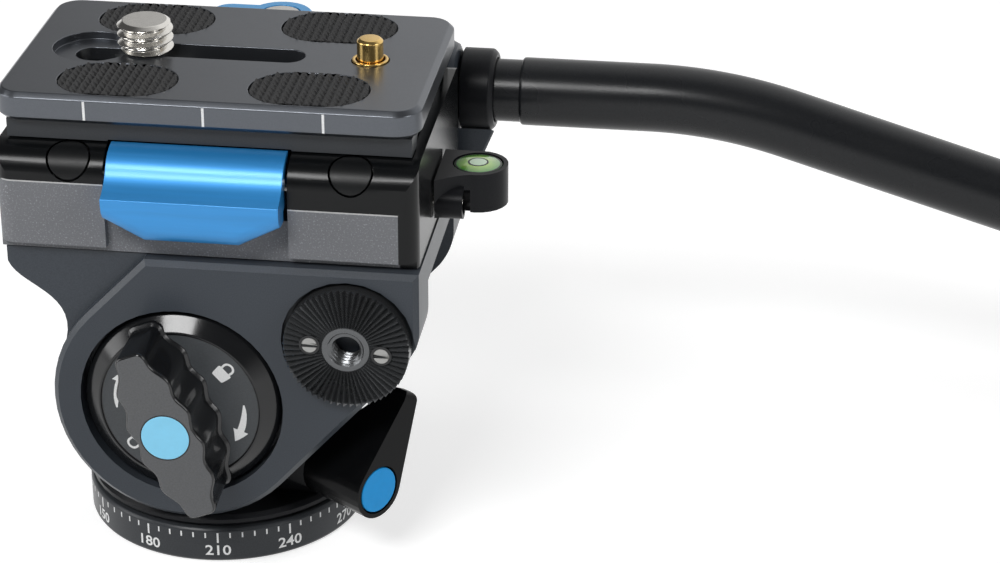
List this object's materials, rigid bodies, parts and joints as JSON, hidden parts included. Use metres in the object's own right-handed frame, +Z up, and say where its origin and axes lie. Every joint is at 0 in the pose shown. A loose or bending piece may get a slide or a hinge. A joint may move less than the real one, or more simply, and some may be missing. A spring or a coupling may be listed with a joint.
{
  "type": "fluid video head",
  "caption": "Compact fluid video head with a degree dial on its base, a tilting fork, a sliding quick-release plate held by a blue clamp lever, and a bent pan bar.",
  "frame": {"origin": "The point where the pan axis meets the underside of the base, which is the seat on the tripod.", "axes": "+Z points up along the pan axis. +X points towards the operator, along the pan bar and the length of the quick-release plate. +Y points away from the side with the clamp lever and the tilt lock knob. The tilt axis is parallel to Y."},
  "size_m": [0.3063, 0.0832, 0.0913],
  "materials": {
    "casting_grey": "satin fine-textured dark grey coating on an aluminium casting",
    "housing_black": "smooth satin black coating",
    "plate_anodised": "satin dark grey anodised aluminium",
    "blue_anodised": "bright blue anodised and brushed",
    "gloss_black": "glossy black moulding",
    "sky_plastic": "light blue satin plastic",
    "bright_steel": "bright turned steel",
    "pin_brass": "turned brass",
    "pad_rubber": "matt black rubber with a fine pattern",
    "vial_glass": "clear vial with yellow-green liquid",
    "bearing_polymer": "off-white bearing plastic"
  },
  "bodies": {
    "base": {"base_dial_ring": "casting_grey", "base_plate": "casting_grey", "tripod_bush": "bright_steel", "pan_thrust_washer": "bearing_polymer", "pan_bearing": "bright_steel", "spindle_clip": "bright_steel"},
    "pan_body": {"pan_housing": "housing_black", "tilt_bearing_front": "bright_steel", "tilt_bearing_rear": "bright_steel", "damper_cup": "plate_anodised", "counterbalance_spring": "bright_steel"},
    "pan_shoe": {"pan_brake_shoe": "pin_brass"},
    "pan_lock": {"pan_lock_lever": "gloss_black", "pan_lock_cap": "sky_plastic", "pan_lock_stud": "bright_steel"},
    "tilt_body": {"tilt_casting": "casting_grey", "tilt_axle": "bright_steel", "damper_rotor": "pin_brass", "tilt_brake_disc": "bearing_polymer", "rear_cover": "gloss_black", "rosette_front": "casting_grey", "rosette_rear": "casting_grey", "rosette_screw_right": "bright_steel", "rosette_screw_left": "bright_steel", "clamp_platform": "casting_grey", "shoulder_plug_left": "gloss_black", "shoulder_plug_right": "gloss_black", "lever_pin": "bright_steel", "rear_lever_screw": "bright_steel", "level_holder": "casting_grey", "level_vial": "vial_glass", "level_holder_screw": "bright_steel"},
    "tilt_knob": {"tilt_lock_knob": "gloss_black", "tilt_lock_cap": "sky_plastic", "tilt_lock_nut": "pin_brass"},
    "lever": {"clamp_lever": "blue_anodised"},
    "jaw": {"clamp_jaw": "casting_grey"},
    "button": {"safety_button": "blue_anodised"},
    "stop_lever": {"rear_stop_lever": "blue_anodised"},
    "plate": {"quick_release_plate": "plate_anodised", "pad_left_front": "pad_rubber", "pad_right_front": "pad_rubber", "pad_left_rear": "pad_rubber", "pad_right_rear": "pad_rubber", "video_pin_collar": "pin_brass", "video_pin_spring": "bright_steel"},
    "screw_carriage": {"camera_screw_washer": "bearing_polymer"},
    "screw": {"camera_screw": "bright_steel"},
    "pin": {"video_pin": "pin_brass"},
    "pan_bar": {"bar_holder": "casting_grey", "bar_collar": "housing_black", "bar_tube": "housing_black", "bar_grip": "pad_rubber", "bar_end_cap": "gloss_black"},
    "bar_knob": {"bar_lock_knob": "gloss_black", "bar_lock_screw": "bright_steel"}
  },
  "joints": [
    {"name": "pan", "type": "hinge", "parent": "base", "child": "pan_body", "pos_m": [0, 0, 0.0068], "axis": [0, 0, 1], "continuous": true},
    {"name": "tilt", "type": "hinge", "parent": "pan_body", "child": "tilt_body", "pos_m": [-0.00165, 0, 0.03178], "axis": [0, 1, 0], "range_deg": [-80, 5]},
    {"name": "pan_lock_turn", "type": "hinge", "parent": "pan_body", "child": "pan_lock", "pos_m": [0.0228, -0.01626, 0.0154], "axis": [0.8141, -0.5807, 0], "range_deg": [-75, 3]},
    {"name": "pan_shoe_press", "type": "slide", "parent": "pan_body", "child": "pan_shoe", "axis": [0.8141, -0.5807, 0], "range_m": [-0.0006, 0.000024]},
    {"name": "tilt_lock_turn", "type": "hinge", "parent": "tilt_body", "child": "tilt_knob", "pos_m": [-0.00165, -0.0209, 0.03178], "axis": [0, -1, 0], "range_deg": [-60, 60]},
    {"name": "clamp_lever_turn", "type": "hinge", "parent": "tilt_body", "child": "lever", "pos_m": [0.0021, -0.02, 0.0713], "axis": [-1, 0, 0], "range_deg": [0, 62]},
    {"name": "clamp_jaw_slide", "type": "slide", "parent": "tilt_body", "child": "jaw", "axis": [0, -1, 0], "range_m": [0, 0.0008]},
    {"name": "safety_button_press", "type": "slide", "parent": "tilt_body", "child": "button", "axis": [1, 0, 0], "range_m": [0, 0.0015], "stiffness_N_per_m": 300, "springref_m": -0.002},
    {"name": "stop_lever_turn", "type": "hinge", "parent": "tilt_body", "child": "stop_lever", "pos_m": [0.00605, 0.0296, 0.0809], "axis": [0, 0, -1], "range_deg": [0, 60]},
    {"name": "plate_slide", "type": "slide", "parent": "tilt_body", "child": "plate", "axis": [1, 0, 0], "range_m": [-0.02, 0.02]},
    {"name": "screw_slide", "type": "slide", "parent": "plate", "child": "screw_carriage", "axis": [1, 0, 0], "range_m": [-0.009, 0.024]},
    {"name": "screw_turn", "type": "hinge", "parent": "screw_carriage", "child": "screw", "pos_m": [-0.01131, 0, 0.085], "axis": [0, 0, 1], "continuous": true},
    {"name": "video_pin_press", "type": "slide", "parent": "plate", "child": "pin", "axis": [0, 0, -1], "range_m": [0, 0.0026], "stiffness_N_per_m": 300, "springref_m": -0.002, "deforming": ["video_pin_spring"]},
    {"name": "pan_bar_turn", "type": "hinge", "parent": "tilt_body", "child": "pan_bar", "pos_m": [0.02736, 0.0286, 0.04517], "axis": [0, 1, 0], "range_deg": [-40, 60]},
    {"name": "bar_knob_turn", "type": "hinge", "parent": "pan_bar", "child": "bar_knob", "pos_m": [0.02736, 0.0386, 0.04517], "axis": [0, 1, 0], "range_deg": [-180, 180]}
  ],
  "couplings": [
    {"joint": "pan_lock_turn", "follows": "pan_shoe_press", "rad_per_m": 2180},
    {"joint": "clamp_lever_turn", "follows": "clamp_jaw_slide", "rad_per_m": 1352}
  ]
}
